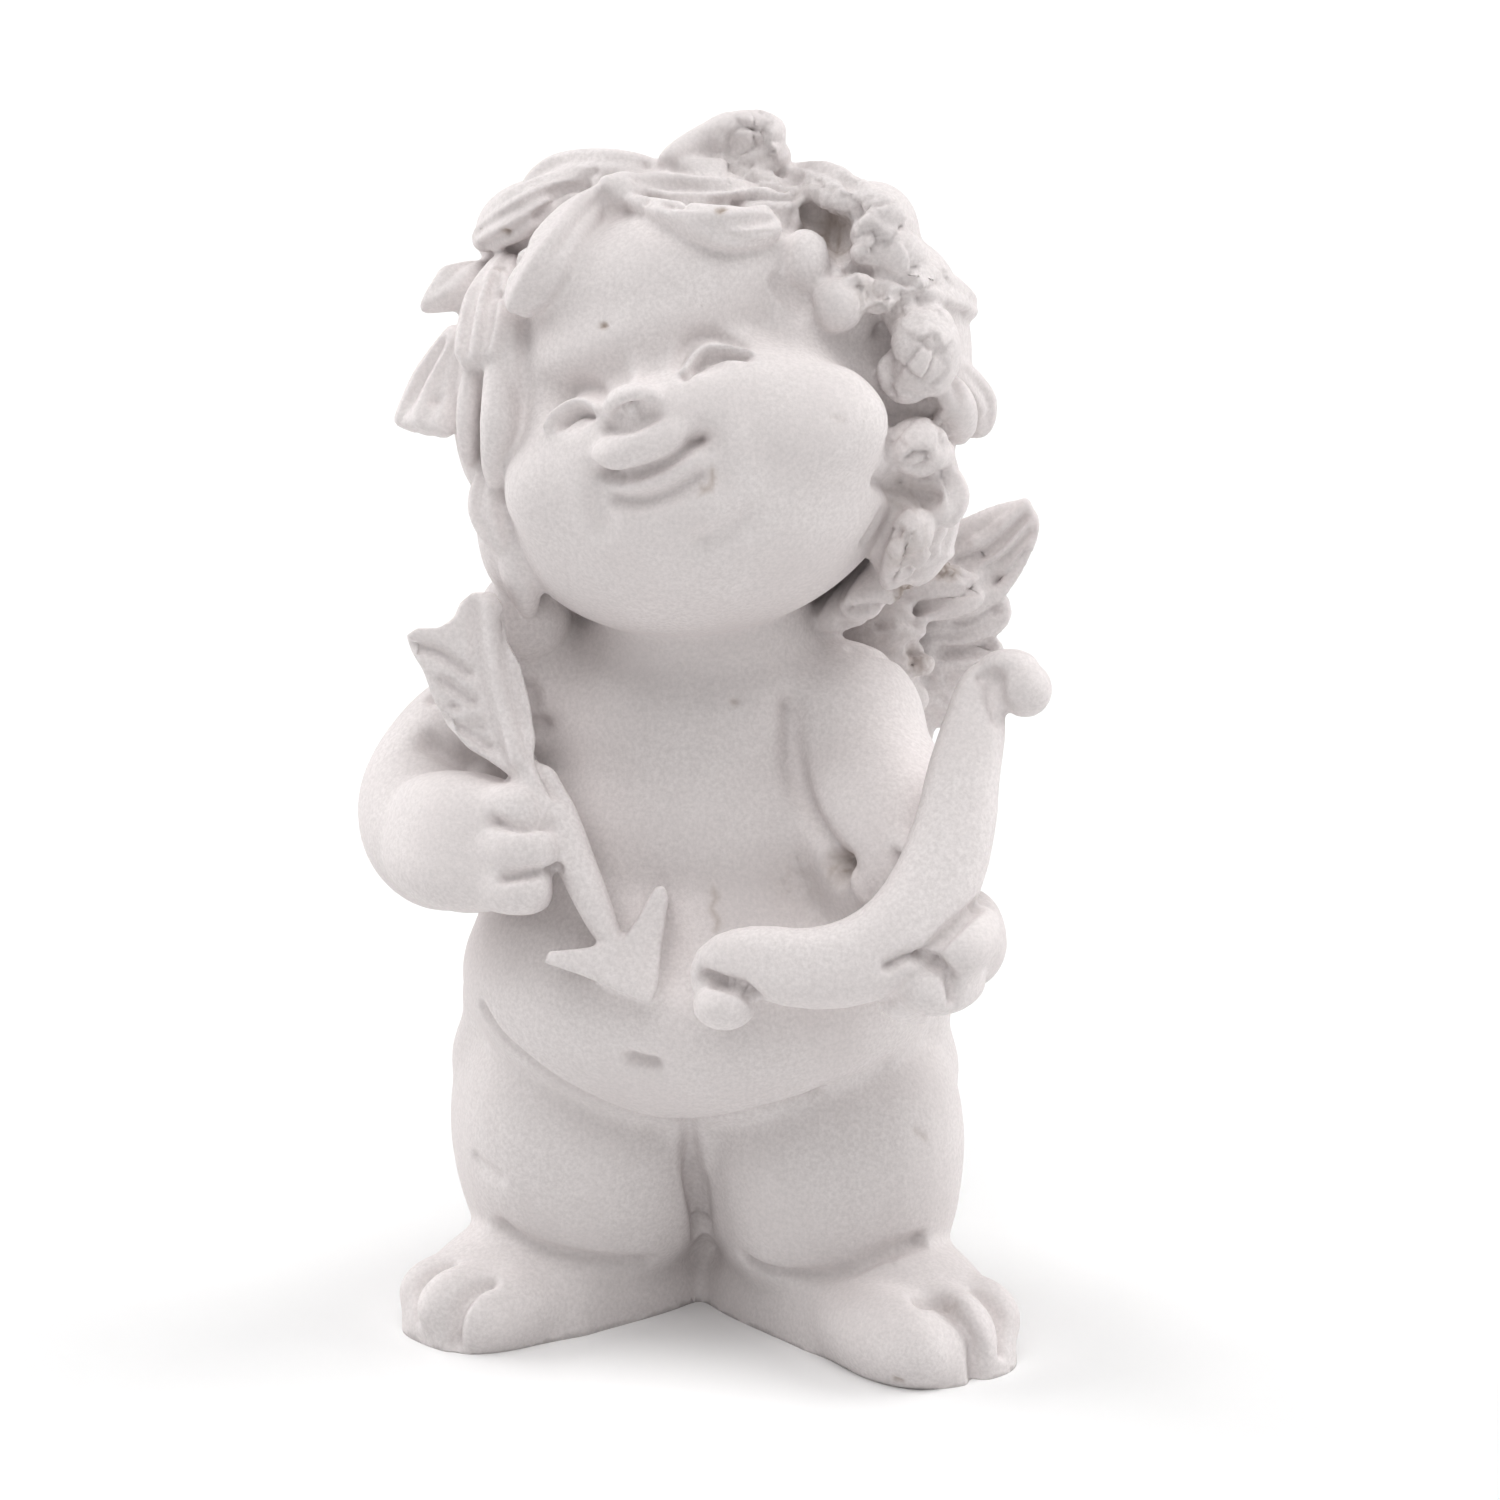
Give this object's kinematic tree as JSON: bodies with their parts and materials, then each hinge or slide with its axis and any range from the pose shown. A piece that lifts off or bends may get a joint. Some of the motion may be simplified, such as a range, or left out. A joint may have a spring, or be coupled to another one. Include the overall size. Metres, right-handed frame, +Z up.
{
  "type": "angel figurine",
  "caption": "Small cast plaster cherub standing barefoot, head tilted back and smiling, an arrow in one fist and a recurved bow in the other, feathered wings behind.",
  "frame": {"origin": "on the ground under the figure, in the middle of its flat underside between the heels", "axes": "+Z up, the figure's front faces -Y, +X to the right of someone who looks at its front"},
  "size_m": [0.0688, 0.0555, 0.12],
  "materials": {
    "plaster": "matte"
  },
  "bodies": {
    "root": {"angel_figurine": "plaster"}
  },
  "joints": []
}
